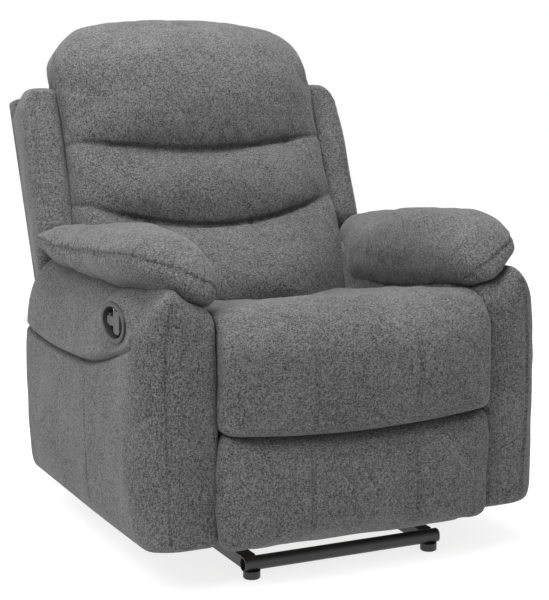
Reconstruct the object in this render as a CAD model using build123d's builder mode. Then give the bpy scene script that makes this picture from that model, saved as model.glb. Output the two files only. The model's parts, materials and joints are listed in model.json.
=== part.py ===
from build123d import *
import os
from math import cos, radians, sin

# Recliner armchair: lever-released footrest, wall-hugging recline.
# Millimetres. +Z up, the sitter faces -Y, so the sitter's right hand is at -X.
# The origin is on the floor, under the middle of the chair's outline.

os.makedirs("parts", exist_ok=True)

SIDES = {"left": 1, "right": -1}

# Driving dimensions
ARM_FRONT = -465          # front face of the arms
ARM_REAR = 245            # rear edge of the arms
ARM_BOTTOM = 80           # underside of the arms
ARM_OUTER = 427           # widest point of the arms
ARM_TOP = 498             # top of the arm's wooden box
PANEL_OUT = 363           # inner face of the arm's outer panel
PANEL_IN = 285            # outer face, towards the seat, of the arm's inner panel
PLY = 12                  # plywood thickness

SEAT_HALF = 266           # half width of the seat cushion
SEAT_DECK = 301           # underside of the seat cushion
SEAT_FRONT = -515         # foremost point of the seat cushion

BACK_LEAN = 23.5          # lean of the back from upright, degrees
BACK_ORIGIN = (0, 226, 250)
BACK_HALF = 282           # half width of the back cushion
WING_OUT = 380            # outer face of the back's side bolsters
WING_IN = 300

# Mechanism, counted outwards from the middle of the chair
PLATE_X = 236             # seat side plates
OUTER_LINK_X = 230.5      # links next to the plates
INNER_LINK_X = 225        # second footrest links
FOOT_BRACKET_X = 219.5    # footrest brackets
BASE_BRACKET_X = 224.5    # uprights on the base rails
STEEL = 4                 # thickness of plates and links
PIN = 5                   # pivot pin radius
RUNNING = 5.05            # hole that turns on a pin
FIXED = 5.02              # hole that a pin is riveted into

RAIL_X = 188              # centre of the base rails
RAIL_WIDE = 28
RAIL_LOW = 15
RAIL_TOP = 40
FOOT_RADIUS = 16

CARRIER = 100             # swing links between the base and the seat plates
CARRIER_LEAN = 25         # their lean at rest, degrees
CARRIER_LOW_Z = 58
CARRIER_Y = {"front": -260, "rear": 100}

BACK_PIVOT = (165, 250)   # (y, z) of the recline hinge

LINK = 150                # both footrest links, pin to pin
FOOT_PIVOT = (-385, 225)  # (y, z) of the first footrest links on the plates
FIRST_ANGLE = 6           # from straight down, towards the rear, degrees
SECOND_ANGLE = -175
DRIVE_BAR = (FOOT_PIVOT[0] + 40, FOOT_PIVOT[1] - 10)

LEVER_Y = -313            # middle of the release lever's bezel
LEVER_Z = 477
BEZEL_RIM = 415           # inner face of the bezel's flange
BEZEL_HALF = (60, 37)     # half sizes of the flange, the cup behind it and the finger pocket
CUP_HALF = (53, 31)
POCKET_HALF = (50, 28)
CABLE_RADIUS = 2.5


def save(piece, name):
    """Name a finished piece and write it out."""
    piece.part.label = name
    export_step(piece.part, f"parts/{name}.step")


def block(name, size, centre, edge=0):
    """Board or block, centred, with its edges rounded by edge."""
    with BuildPart() as piece:
        with Locations(centre):
            Box(*size)
        if edge:
            fillet(piece.edges(), edge)
    save(piece, name)


def reach(start, length, angle):
    """Point at a distance from start, angle counted from straight down towards +Y."""
    return (start[0] + length * sin(radians(angle)), start[1] - length * cos(radians(angle)))


def both_sides(name, near, thickness, draw):
    """Flat plate on each side of the chair, drawn in (y, z)."""
    with BuildPart() as piece:
        for side in SIDES.values():
            with BuildSketch(Plane.YZ.offset(side * near)):
                draw()
            extrude(amount=side * thickness)
    save(piece, name)


def pins(name, spots, radius=PIN, head=0, head_length=0):
    """Round pins along X on both sides; spots holds ((y, z), near, far)."""
    with BuildPart() as piece:
        for side in SIDES.values():
            for spot, near, far in spots:
                with BuildSketch(Plane.YZ.offset(side * near)):
                    with Locations(spot):
                        Circle(radius)
                extrude(amount=side * (far - near))
                if head:
                    with BuildSketch(Plane.YZ.offset(side * (near - head_length))):
                        with Locations(spot):
                            Circle(head)
                    extrude(amount=side * head_length)
    save(piece, name)


def link_outline(start, end, radius, start_hole, end_hole):
    """Round-ended link with a hole at each end, inside a sketch."""
    with Locations(start, end):
        Circle(radius)
    make_hull()
    with Locations(start):
        Circle(start_hole, mode=Mode.SUBTRACT)
    with Locations(end):
        Circle(end_hole, mode=Mode.SUBTRACT)


carrier_low = {place: (y, CARRIER_LOW_Z) for place, y in CARRIER_Y.items()}
carrier_high = {
    place: reach(low, CARRIER, 180 - CARRIER_LEAN) for place, low in carrier_low.items()
}
first_end = reach(FOOT_PIVOT, LINK, FIRST_ANGLE)
second_end = reach(first_end, LINK, SECOND_ANGLE)

# ---------------------------------------------------------------- base

RAIL_FRONT = -400
RAIL_REAR = 300
TUBE_FRONT_Y = -413
TUBE_REAR_Y = 313

for side_name, side in SIDES.items():
    block(
        f"base_rail_{side_name}",
        (RAIL_WIDE, RAIL_REAR - RAIL_FRONT, RAIL_TOP - RAIL_LOW),
        (side * RAIL_X, (RAIL_REAR + RAIL_FRONT) / 2, (RAIL_TOP + RAIL_LOW) / 2),
        2,
    )

TUBE_HALF = 206
TUBE_Z = 28
for place, y in (("front", TUBE_FRONT_Y), ("rear", TUBE_REAR_Y)):
    with BuildPart() as tube:
        with BuildSketch(Plane.YZ.offset(-TUBE_HALF)):
            with Locations((y, TUBE_Z)):
                RectangleRounded(25, 26, 11)
                RectangleRounded(21, 22, 9, mode=Mode.SUBTRACT)
        extrude(amount=2 * TUBE_HALF)
    save(tube, f"cross_tube_{place}")

FOOT_SPOTS = [(x, y) for x in (-RAIL_X, RAIL_X) for y in (TUBE_FRONT_Y, TUBE_REAR_Y)]
FOOT_TOP = TUBE_Z - 13
with BuildPart() as feet:
    with Locations(*[(x, y, 0) for x, y in FOOT_SPOTS]):
        Cylinder(FOOT_RADIUS, FOOT_TOP, align=(Align.CENTER, Align.CENTER, Align.MIN))
    chamfer(feet.faces().group_by(Axis.Z)[0].edges(), 2)
save(feet, "glide_feet")

BRACKET_RADIUS = 14
with BuildPart() as brackets:
    for side in SIDES.values():
        for low in carrier_low.values():
            with BuildSketch(Plane.YZ.offset(side * BASE_BRACKET_X)):
                with Locations(low):
                    Circle(BRACKET_RADIUS)
                with Locations((low[0] - 24, RAIL_TOP + 2), (low[0] + 24, RAIL_TOP + 2)):
                    Circle(2)
                make_hull()
                with Locations(low):
                    Circle(FIXED, mode=Mode.SUBTRACT)
            extrude(amount=side * STEEL)
            flange_wide = BASE_BRACKET_X + STEEL - (RAIL_X - 10)
            with Locations((side * (RAIL_X - 10 + flange_wide / 2), low[0], RAIL_TOP + STEEL / 2)):
                Box(flange_wide, 52, STEEL)
save(brackets, "base_brackets")

pins(
    "base_pivot_pins",
    [(low, BASE_BRACKET_X, OUTER_LINK_X + STEEL + 0.8) for low in carrier_low.values()],
    head=8,
    head_length=2,
)

# ---------------------------------------------------------------- swing links

for place in CARRIER_Y:
    both_sides(
        f"{place}_carrier_links",
        OUTER_LINK_X,
        STEEL,
        lambda: link_outline(carrier_low[place], carrier_high[place], 13, RUNNING, RUNNING),
    )

# ---------------------------------------------------------------- seat plates and box

BOLT_SPOTS = [(-330, 236), (-120, 236), (90, 236)]


def plate_outline():
    with Locations(FOOT_PIVOT, BACK_PIVOT):
        Circle(20)
    with Locations(*carrier_high.values()):
        Circle(17)
    make_hull()
    with Locations(FOOT_PIVOT, BACK_PIVOT, *carrier_high.values()):
        Circle(FIXED, mode=Mode.SUBTRACT)
    with Locations(*BOLT_SPOTS):
        Circle(4, mode=Mode.SUBTRACT)


SIDE_RAIL_IN = PLATE_X + STEEL
SIDE_RAIL_THICK = 22
SIDE_RAIL_LOW = 210
SIDE_RAIL_TOP = 280
for side_name, side in SIDES.items():
    with BuildPart() as plate:
        with BuildSketch(Plane.YZ.offset(side * PLATE_X)):
            plate_outline()
        extrude(amount=side * STEEL)
    save(plate, f"seat_plate_{side_name}")

    with BuildPart() as side_rail:
        with BuildSketch(Plane.YZ.offset(side * SIDE_RAIL_IN)):
            with Locations((-150, (SIDE_RAIL_LOW + SIDE_RAIL_TOP) / 2)):
                Rectangle(520, SIDE_RAIL_TOP - SIDE_RAIL_LOW)
            with Locations(*BOLT_SPOTS):
                Circle(4, mode=Mode.SUBTRACT)
        extrude(amount=side * SIDE_RAIL_THICK)
    save(side_rail, f"seat_rail_{side_name}")

pins(
    "seat_pivot_pins",
    [(FOOT_PIVOT, OUTER_LINK_X - 0.9, PLATE_X + STEEL - 0.2)]
    + [(BACK_PIVOT, OUTER_LINK_X - 2, PLATE_X + STEEL - 0.2)]
    + [(high, OUTER_LINK_X - 1, PLATE_X + STEEL + 3) for high in carrier_high.values()],
)

with BuildPart() as bolts:
    for side in SIDES.values():
        with BuildSketch(Plane.YZ.offset(side * (PLATE_X + 0.2))):
            with Locations(*BOLT_SPOTS):
                Circle(3.9)
        extrude(amount=side * (STEEL + SIDE_RAIL_THICK - 0.2))
        with BuildSketch(Plane.YZ.offset(side * (SIDE_RAIL_IN + SIDE_RAIL_THICK))):
            with Locations(*BOLT_SPOTS):
                RegularPolygon(8, 6)
        extrude(amount=side * 5)
save(bolts, "seat_bolts")

CROSS_RAIL_LOW = 262
CROSS_RAIL_HIGH = 290
SPRING_RAIL_Y = {"front": -412, "rear": 72}
for place, y in SPRING_RAIL_Y.items():
    rail_half = SIDE_RAIL_IN + SIDE_RAIL_THICK if place == "front" else SIDE_RAIL_IN - 9
    low = CROSS_RAIL_LOW if place == "rear" else SIDE_RAIL_TOP + 0.2
    block(
        f"seat_rail_{place}",
        (2 * rail_half, 25, CROSS_RAIL_HIGH - low),
        (0, y, (CROSS_RAIL_HIGH + low) / 2),
    )

SPRING_WIRE = 1.8
SPRING_Z = CROSS_RAIL_HIGH + SPRING_WIRE + 0.2
SPRING_X = (-176, -88, 0, 88, 176)
SPRING_WAVE = 17
SPRING_STEP = 54


def zigzag(count, step, wave):
    """Corner points of one wavy spring, along its own line from -half to +half."""
    half = count * step / 2
    points = []
    for turn in range(count + 1):
        across = wave if turn % 2 else -wave
        along = turn * step - half
        points.append((along - step / 2 + 0.01, across) if turn else (along, across))
        points.append((along + step / 2 - 0.01, across) if turn < count else (along, across))
    return points


SEAT_MID_Y = (SPRING_RAIL_Y["front"] + SPRING_RAIL_Y["rear"]) / 2
SEAT_SPRING_COUNT = 9


def wavy_wire(to_point, count):
    """Wire swept along a zigzag whose corners are rounded."""
    with BuildPart() as wire:
        with BuildLine() as path:
            FilletPolyline(*[to_point(a, c) for a, c in zigzag(count, SPRING_STEP, SPRING_WAVE)], radius=12)
        with BuildSketch(Plane(origin=path.line @ 0, z_dir=path.line % 0)):
            Circle(SPRING_WIRE)
        sweep()
    return wire.part


with BuildPart() as seat_springs:
    for x in SPRING_X:
        add(wavy_wire(lambda a, c: (x + c, SEAT_MID_Y + a, SPRING_Z), SEAT_SPRING_COUNT))
save(seat_springs, "seat_springs")

CLIP_Z = CROSS_RAIL_HIGH + 2 * SPRING_WIRE + 0.6
with BuildPart() as clips:
    for x in SPRING_X:
        for place, sign in (("front", -1), ("rear", 1)):
            with Locations((x, SPRING_RAIL_Y[place], CLIP_Z + 0.6)):
                Box(42, 14, 1.2)
save(clips, "spring_clips")

PAD_LOW = CLIP_Z + 1.5
block("seat_felt", (440, 500, SEAT_DECK - 0.5 - PAD_LOW), (0, -170, (SEAT_DECK - 0.5 + PAD_LOW) / 2))

# ---------------------------------------------------------------- seat cushion

SEAT_REAR = 105
with BuildPart() as cushion:
    with BuildSketch(Plane.YZ):
        with BuildLine():
            Polyline((-480, 293), (-447, 293), (-447, SEAT_DECK), (SEAT_REAR, SEAT_DECK), (SEAT_REAR, 462))
            ThreePointArc((SEAT_REAR, 462), (-190, 500), (-440, 524))
            ThreePointArc((-440, 524), (-486, 512), (-508, 470))
            ThreePointArc((-508, 470), (SEAT_FRONT, 395), (-480, 293))
        make_face()
    extrude(amount=SEAT_HALF, both=True)
    fillet(cushion.faces().filter_by(Axis.X).edges().filter_by_position(Axis.Z, 300, 530), 12)
save(cushion, "seat_cushion")

# ---------------------------------------------------------------- arms

PANEL_OUTLINE = [(-440, 85), (212, 85), (231, 112), (236, 400), (176, 468), (150, ARM_TOP), (-440, ARM_TOP)]
CABLE_Y = -270
CABLE_LOW_Z = 150


def arm_panel(name, near, side, cable_hole=None):
    """Plywood side of the arm's box; cable_hole is (y, z) or None."""
    with BuildPart() as panel:
        with BuildSketch(Plane.YZ.offset(side * near)):
            with BuildLine():
                Polyline(*PANEL_OUTLINE, close=True)
            make_face()
            if cable_hole:
                with Locations(cable_hole):
                    Circle(CABLE_RADIUS + 2, mode=Mode.SUBTRACT)
        extrude(amount=side * PLY)
    save(panel, name)


def arm_section(side, inner, step_in=0):
    """Outer skin line of the arm in (x, z), inside a sketch on the XZ plane."""
    with BuildLine() as skin:
        Polyline((side * inner, ARM_TOP), (side * inner, ARM_BOTTOM), (side * (416 - step_in), ARM_BOTTOM))
        ThreePointArc(
            (side * (416 - step_in), ARM_BOTTOM),
            (side * (ARM_OUTER - step_in), 265),
            (side * (408 - step_in), 440),
        )
        ThreePointArc(
            (side * (408 - step_in), 440),
            (side * (401 - step_in), 475),
            (side * (385 - step_in), ARM_TOP),
        )
        Line((side * (385 - step_in), ARM_TOP), (side * inner, ARM_TOP))
    make_face(skin.edges())


SIDE_PAD_IN = PANEL_OUT + PLY + 2
FRONT_PAD_BACK = -441.5
for side_name, side in SIDES.items():
    lever_side = side_name == "right"
    outer_hole = (CABLE_Y, LEVER_Z) if lever_side else None
    inner_hole = (CABLE_Y, CABLE_LOW_Z) if lever_side else None
    arm_panel(f"arm_outer_panel_{side_name}", PANEL_OUT, side, outer_hole)
    arm_panel(f"arm_inner_panel_{side_name}", PANEL_IN, side, inner_hole)

    box_inside = PANEL_OUT - PANEL_IN - PLY
    box_mid = side * (PANEL_OUT + PANEL_IN + PLY) / 2
    top_board = (PANEL_OUT + PLY - PANEL_IN, 578, 10)
    block(f"arm_top_board_{side_name}", top_board, (box_mid, -151, ARM_TOP + 5))
    with BuildPart() as posts:
        with Locations((box_mid, -425, 291.5), (box_mid, 215, 245)):
            Box(box_inside, 28, 313)
    save(posts, f"arm_posts_{side_name}")

    with BuildPart() as side_pad:
        with BuildSketch(Plane.XZ.offset(-ARM_REAR)):
            arm_section(side, SIDE_PAD_IN)
        extrude(amount=ARM_REAR - FRONT_PAD_BACK - 0.5)
        with BuildSketch(Plane.YZ.offset(side * SIDE_PAD_IN)):
            with BuildLine():
                Polyline(
                    (-442, ARM_BOTTOM),
                    (205, ARM_BOTTOM + 12),
                    (232, 120),
                    (ARM_REAR, 230),
                    (ARM_REAR, 355),
                )
                ThreePointArc((ARM_REAR, 355), (230, 425), (150, ARM_TOP))
                Polyline((150, ARM_TOP), (-442, ARM_TOP), (-442, ARM_BOTTOM))
            make_face()
        extrude(amount=side * 60, mode=Mode.INTERSECT)
        if lever_side:
            with BuildSketch(Plane.YZ.offset(side * SIDE_PAD_IN)):
                with Locations((LEVER_Y, LEVER_Z)):
                    Rectangle(2 * CUP_HALF[0], 2 * (ARM_TOP - LEVER_Z) + 8)
                    Ellipse(CUP_HALF[0] + 1, CUP_HALF[1] + 1)
            extrude(amount=side * 60, mode=Mode.SUBTRACT)
    save(side_pad, f"arm_side_pad_{side_name}")

    with BuildPart() as front_pad:
        with BuildSketch(Plane.XZ.offset(-FRONT_PAD_BACK)):
            arm_section(side, 273, 2)
        extrude(amount=FRONT_PAD_BACK - ARM_FRONT)
    save(front_pad, f"arm_front_pad_{side_name}")

PAD_BOTTOM = ARM_TOP + 12
PAD_IN = 268
PAD_OUT = 424
PAD_REAR = 208
for side_name, side in SIDES.items():
    with BuildPart() as arm_pad:
        with BuildSketch(Plane.YZ.offset(side * PAD_IN)):
            with BuildLine():
                Polyline((-446, PAD_BOTTOM), (180, PAD_BOTTOM + 14))
                ThreePointArc((180, PAD_BOTTOM + 14), (PAD_REAR, 560), (180, 594))
                ThreePointArc((180, 594), (-160, 648), (-420, 634))
                ThreePointArc((-420, 634), (-468, 580), (-446, PAD_BOTTOM))
            make_face()
        extrude(amount=side * (PAD_OUT - PAD_IN))
        with Locations((side * PAD_IN, 215, 560)):
            Box(2 * (WING_IN - PAD_IN), 200, 200, mode=Mode.SUBTRACT)
        if side_name == "right":
            with Locations((side * 415, LEVER_Y, LEVER_Z)):
                Box(40, 2 * BEZEL_HALF[0] + 4, 2 * BEZEL_HALF[1] + 8, mode=Mode.SUBTRACT)
    save(arm_pad, f"arm_pad_{side_name}")

# Lower outside back between the arms
block("rear_skirt", (2 * PANEL_IN - 4, 8, 115), (0, 240, 147.5))

# ---------------------------------------------------------------- release lever

BEZEL_BACK = 377
POCKET_BACK = 380
LEVER_PIVOT_Y = LEVER_Y + 34
LEVER_X = 398
with BuildPart() as bezel:
    with BuildSketch(Plane.YZ.offset(-BEZEL_RIM)):
        with Locations((LEVER_Y, LEVER_Z)):
            Ellipse(*BEZEL_HALF)
    extrude(amount=5)
    with BuildSketch(Plane.YZ.offset(-BEZEL_RIM)):
        with Locations((LEVER_Y, LEVER_Z)):
            Ellipse(*CUP_HALF)
    extrude(amount=BEZEL_RIM - BEZEL_BACK)
    with BuildSketch(Plane.YZ.offset(-BEZEL_RIM)):
        with Locations((LEVER_Y, LEVER_Z)):
            Ellipse(*POCKET_HALF)
    extrude(amount=BEZEL_RIM - POCKET_BACK, mode=Mode.SUBTRACT)
    fillet(bezel.faces().sort_by(Axis.X)[0].edges(), 1.5)
save(bezel, "lever_bezel")

with BuildPart() as paddle:
    with BuildSketch(Plane.YZ.offset(-(LEVER_X + 12))):
        with Locations((LEVER_Y - 8, LEVER_Z)):
            RectangleRounded(30, 42, 8)
        with Locations((LEVER_PIVOT_Y - 17, LEVER_Z)):
            RectangleRounded(44, 16, 6)
    extrude(amount=8)
    with BuildSketch(Plane.XY.offset(LEVER_Z - 12)):
        with Locations((-LEVER_X, LEVER_PIVOT_Y)):
            Circle(5)
        with Locations((-LEVER_X - 6, LEVER_PIVOT_Y - 1)):
            Rectangle(6, 10)
    extrude(amount=24)
    with Locations((-LEVER_X, LEVER_PIVOT_Y, LEVER_Z)):
        Cylinder(2.05, 60, mode=Mode.SUBTRACT)
save(paddle, "lever_paddle")

with BuildPart() as lever_pin:
    with Locations((-LEVER_X, LEVER_PIVOT_Y, LEVER_Z)):
        Cylinder(2, 38.8)
save(lever_pin, "lever_pin")

with BuildPart() as cable:
    with BuildLine() as route:
        FilletPolyline(
            (-(BEZEL_BACK - 1), CABLE_Y, LEVER_Z),
            (-330, CABLE_Y, LEVER_Z),
            (-330, CABLE_Y, CABLE_LOW_Z),
            (-253, CABLE_Y, CABLE_LOW_Z),
            (-253, CABLE_Y - 76, CABLE_LOW_Z),
            radius=26,
        )
    with BuildSketch(Plane(origin=route.line @ 0, z_dir=route.line % 0)):
        Circle(CABLE_RADIUS)
    sweep()
save(cable, "release_cable")

PAWL_X = 241
PAWL_PIVOT = (-300, 178)
with BuildPart() as pawl:
    with BuildSketch(Plane.YZ.offset(-PAWL_X)):
        with Locations(PAWL_PIVOT):
            Circle(9)
        with Locations((-346, 176)):
            Circle(7)
        make_hull()
        with BuildLine():
            Polyline((-352, 178), (-340, 178), (-344, 158), (-350, 160), close=True)
        make_face()
        with Locations(PAWL_PIVOT):
            Circle(4.05, mode=Mode.SUBTRACT)
    extrude(amount=-STEEL)
save(pawl, "latch_pawl")

with BuildPart() as pawl_pin:
    with BuildSketch(Plane.YZ.offset(-PLATE_X - STEEL)):
        with Locations(PAWL_PIVOT):
            Circle(4)
    extrude(amount=-(STEEL + 2))
save(pawl_pin, "latch_pin")

# ---------------------------------------------------------------- footrest


def first_link_outline():
    with Locations(FOOT_PIVOT, first_end):
        Circle(12)
    make_hull()
    with Locations(DRIVE_BAR):
        Circle(13)
    with Locations(((FOOT_PIVOT[0] + DRIVE_BAR[0]) / 2, (FOOT_PIVOT[1] + DRIVE_BAR[1]) / 2)):
        Rectangle(40, 20)
    with Locations(FOOT_PIVOT):
        Circle(RUNNING, mode=Mode.SUBTRACT)
    with Locations(first_end):
        Circle(FIXED, mode=Mode.SUBTRACT)


both_sides("first_footrest_links", OUTER_LINK_X, STEEL, first_link_outline)
both_sides(
    "second_footrest_links",
    INNER_LINK_X,
    STEEL,
    lambda: link_outline(first_end, second_end, 12, RUNNING, RUNNING),
)
pins("first_link_pins", [(first_end, INNER_LINK_X - 0.6, OUTER_LINK_X + STEEL + 0.6)])
pins("second_link_pins", [(second_end, FOOT_BRACKET_X - 2, INNER_LINK_X + STEEL + 0.1)])

with BuildPart() as drive_bar:
    with BuildSketch(Plane.YZ.offset(-OUTER_LINK_X)):
        with Locations(DRIVE_BAR):
            Circle(8)
            Circle(6.5, mode=Mode.SUBTRACT)
    extrude(amount=2 * OUTER_LINK_X)
save(drive_bar, "footrest_drive_bar")

BOARD_BACK = -425
BOARD_FRONT = -440
BOARD_LOW = 76
BOARD_HIGH = 262
FOOT_PAD_FRONT = -492


def foot_bracket_outline():
    with Locations(second_end):
        Circle(12)
    with Locations((BOARD_BACK + 5, 140), (BOARD_BACK + 5, 236)):
        Circle(4.5)
    make_hull()
    with Locations(second_end):
        Circle(FIXED, mode=Mode.SUBTRACT)


with BuildPart() as foot_brackets:
    for side in SIDES.values():
        with BuildSketch(Plane.YZ.offset(side * FOOT_BRACKET_X)):
            foot_bracket_outline()
        extrude(amount=side * STEEL)
        with Locations((side * (FOOT_BRACKET_X - 8), BOARD_BACK + 2, 188)):
            Box(24, 3, 104)
save(foot_brackets, "footrest_brackets")

block(
    "footrest_board",
    (510, BOARD_BACK - BOARD_FRONT, BOARD_HIGH - BOARD_LOW),
    (0, (BOARD_BACK + BOARD_FRONT) / 2, (BOARD_HIGH + BOARD_LOW) / 2),
)
with BuildPart() as foot_pad:
    with BuildSketch(Plane.YZ):
        with BuildLine():
            Polyline((BOARD_FRONT - 0.5, 274), (BOARD_FRONT - 0.5, 68), (-466, 68))
            ThreePointArc((-466, 68), (-488, 110), (FOOT_PAD_FRONT, 180))
            ThreePointArc((FOOT_PAD_FRONT, 180), (-489, 240), (-470, 274))
            Line((-470, 274), (BOARD_FRONT - 0.5, 274))
        make_face()
    extrude(amount=SEAT_HALF, both=True)
    fillet(foot_pad.edges().filter_by(Axis.Y).group_by(Axis.Z)[0], 20)
save(foot_pad, "footrest_pad")

# ---------------------------------------------------------------- back

LEAN = radians(BACK_LEAN)
# Local x is across, local y runs up the back, local z points out of its front.
back_plane = Plane(origin=BACK_ORIGIN, x_dir=(1, 0, 0), z_dir=(0, -cos(LEAN), sin(LEAN)))
# Local x runs up the back, local y points out of its front, local z is across.
back_side = Plane(origin=BACK_ORIGIN, x_dir=(0, sin(LEAN), cos(LEAN)), z_dir=(1, 0, 0))

POST_IN = 205
POST_OUT = OUTER_LINK_X - 0.5
POST_DEEP = 42


def back_block(name, size, centre):
    """Board in the back's own plane: across, up, forwards."""
    with BuildPart(back_plane) as piece:
        with Locations(centre):
            Box(*size)
    save(piece, name)


for side_name, side in SIDES.items():
    back_block(
        f"back_post_{side_name}",
        (POST_OUT - POST_IN, 700, POST_DEEP),
        (side * (POST_IN + POST_OUT) / 2, 320, POST_DEEP / 2),
    )
back_block("back_rail_top", (2 * POST_IN, 45, 25), (0, 640, POST_DEEP / 2))
back_block("back_rail_bottom", (2 * POST_IN, 45, 25), (0, 90, POST_DEEP / 2))

BACK_SPRING_UP = (210, 320, 430, 540)
BACK_SPRING_COUNT = 8
BACK_SPRING_W = POST_DEEP + SPRING_WIRE + 0.2


def back_wire(up):
    """One wavy spring across the back, its ends on the two posts."""
    return wavy_wire(
        lambda a, c: back_plane.from_local_coords(Vector(a, up + c, BACK_SPRING_W)), BACK_SPRING_COUNT
    )


with BuildPart() as back_springs:
    for up in BACK_SPRING_UP:
        add(back_wire(up))
save(back_springs, "back_springs")


def to_side(up, forward):
    """Point of the back's side view in the chair's (y, z)."""
    y = BACK_ORIGIN[1] + up * sin(LEAN) - forward * cos(LEAN)
    z = BACK_ORIGIN[2] + up * cos(LEAN) + forward * sin(LEAN)
    return (y, z)


def back_bracket_outline():
    with Locations(BACK_PIVOT):
        Circle(15)
    with Locations(to_side(-10, 20), to_side(110, 20)):
        Circle(14)
    make_hull()
    with Locations(BACK_PIVOT):
        Circle(RUNNING, mode=Mode.SUBTRACT)


both_sides("back_brackets", OUTER_LINK_X, STEEL, back_bracket_outline)

CUSHION_BACK = POST_DEEP + 10
with BuildPart() as back_cushion:
    with BuildSketch(back_side):
        with BuildLine():
            Polyline((720, CUSHION_BACK), (132, CUSHION_BACK), (132, 150))
            ThreePointArc((132, 150), (225, 190), (306, 172))
            ThreePointArc((306, 172), (378, 197), (449, 176))
            ThreePointArc((449, 176), (560, 207), (690, 190))
            ThreePointArc((690, 190), (776, 142), (779, 100))
            ThreePointArc((779, 100), (770, 50), (748, 10))
            Polyline((748, 10), (720, 10), (720, CUSHION_BACK))
        make_face()
    extrude(amount=BACK_HALF, both=True)
save(back_cushion, "back_cushion")

for side_name, side in SIDES.items():
    with BuildPart() as wing:
        with BuildSketch(back_side.offset(side * WING_IN)):
            with BuildLine():
                Polyline((170, 45), (170, 0), (650, 0))
                ThreePointArc((650, 0), (690, 40), (672, 90))
                ThreePointArc((672, 90), (650, 125), (620, 132))
                Polyline((620, 132), (300, 125), (170, 45))
            make_face()
        extrude(amount=side * (WING_OUT - WING_IN))
        with BuildSketch(back_side.offset(side * (POST_OUT + STEEL + 1))):
            with Locations((430, 22)):
                Rectangle(420, 40)
        extrude(amount=side * (WING_IN + 1 - POST_OUT - STEEL - 1))
    save(wing, f"back_wing_{side_name}")

BACK_PANEL = 8
with BuildPart() as back_panel:
    with BuildSketch(back_plane.offset(-BACK_PANEL - 1)):
        with Locations((0, 385)):
            RectangleRounded(2 * (WING_OUT - 6), 570, 30)
        with Locations((0, 60)):
            Rectangle(2 * (PANEL_IN - 10), 180)
    extrude(amount=BACK_PANEL)
save(back_panel, "back_panel")
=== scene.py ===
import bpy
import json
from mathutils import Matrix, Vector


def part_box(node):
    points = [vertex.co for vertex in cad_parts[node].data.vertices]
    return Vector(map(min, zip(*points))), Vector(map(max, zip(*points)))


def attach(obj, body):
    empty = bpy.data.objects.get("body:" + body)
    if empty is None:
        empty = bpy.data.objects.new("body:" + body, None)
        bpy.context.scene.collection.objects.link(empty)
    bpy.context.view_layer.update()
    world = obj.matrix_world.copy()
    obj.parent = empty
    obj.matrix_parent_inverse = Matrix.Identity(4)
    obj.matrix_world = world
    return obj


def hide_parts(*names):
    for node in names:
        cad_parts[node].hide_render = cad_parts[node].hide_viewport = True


bl_info = {
    "name": "Recliner upholstery",
    "version": (1, 0, 0),
    "blender": (4, 5, 0),
    "location": "3D View > Sidebar > Recliner",
    "description": "Upholsters a recliner's packed frame: cushions, arms, back, stitching and finishes",
    "category": "Object",
}

import json
import math

import bmesh
import bpy
import numpy as np
from bpy.props import FloatProperty, FloatVectorProperty, IntProperty, PointerProperty
from mathutils import Vector
from mathutils.bvhtree import BVHTree

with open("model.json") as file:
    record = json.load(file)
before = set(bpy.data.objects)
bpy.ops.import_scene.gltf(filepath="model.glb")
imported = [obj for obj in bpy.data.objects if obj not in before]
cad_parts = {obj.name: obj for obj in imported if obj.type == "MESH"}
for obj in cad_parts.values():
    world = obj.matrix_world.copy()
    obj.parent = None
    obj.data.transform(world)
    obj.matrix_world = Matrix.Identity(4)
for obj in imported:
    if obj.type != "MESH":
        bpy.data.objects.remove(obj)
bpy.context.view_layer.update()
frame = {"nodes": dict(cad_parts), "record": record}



def node_box(node):
    """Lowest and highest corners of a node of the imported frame."""
    return [np.array(place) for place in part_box(node)]


SIDES = {"left": 1, "right": -1}
SEAT = node_box("seat_cushion")
FOOT = node_box("footrest_pad")
WING = node_box("back_wing_left")
PANEL = node_box("back_panel")
BEZEL = node_box("lever_bezel")
ARM_FRONT = float(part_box("arm_front_pad_left")[0][1])
LEVER = (BEZEL[0] + BEZEL[1]) / 2

# The back leans: "up" and "out" on it are directions of their own, from the foot of its panel.
LEAN = math.radians(23.5)
BACK_ORIGIN = np.array((0.0, 0.226, 0.250))
UP_BACK = np.array((0.0, math.sin(LEAN), math.cos(LEAN)))
OUT_BACK = np.array((0.0, -math.cos(LEAN), math.sin(LEAN)))


# ------------------------------------------------------------------ settings


class ReclinerSizes(bpy.types.PropertyGroup):
    """Sizes of the cloth, its filling and its sewing"""

    cloth_grid: FloatProperty(
        name="Cloth grid",
        description="Edge length of the cloth before subdivision",
        default=0.0065,
        unit="LENGTH",
    )
    fill_pressure: FloatProperty(
        name="Fill pressure", description="How hard soft filling pushes the cloth out", default=2.5
    )
    cloth_frames: IntProperty(
        name="Cloth steps",
        description="Frames that the cloth settles for",
        default=14,
    )
    channel_depth: FloatProperty(
        name="Channel depth",
        description="How deep the back's sewn channels are",
        default=0.030,
        unit="LENGTH",
    )
    seam_depth: FloatProperty(
        name="Seam depth",
        description="How far a seam pulls in",
        default=0.0030,
        unit="LENGTH",
    )
    stitch_length: FloatProperty(
        name="Stitch",
        description="Length of one stitch",
        default=0.0052,
        unit="LENGTH",
    )
    thread: FloatProperty(
        name="Thread",
        description="Radius of the sewing thread",
        default=0.00055,
        unit="LENGTH",
    )


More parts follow.
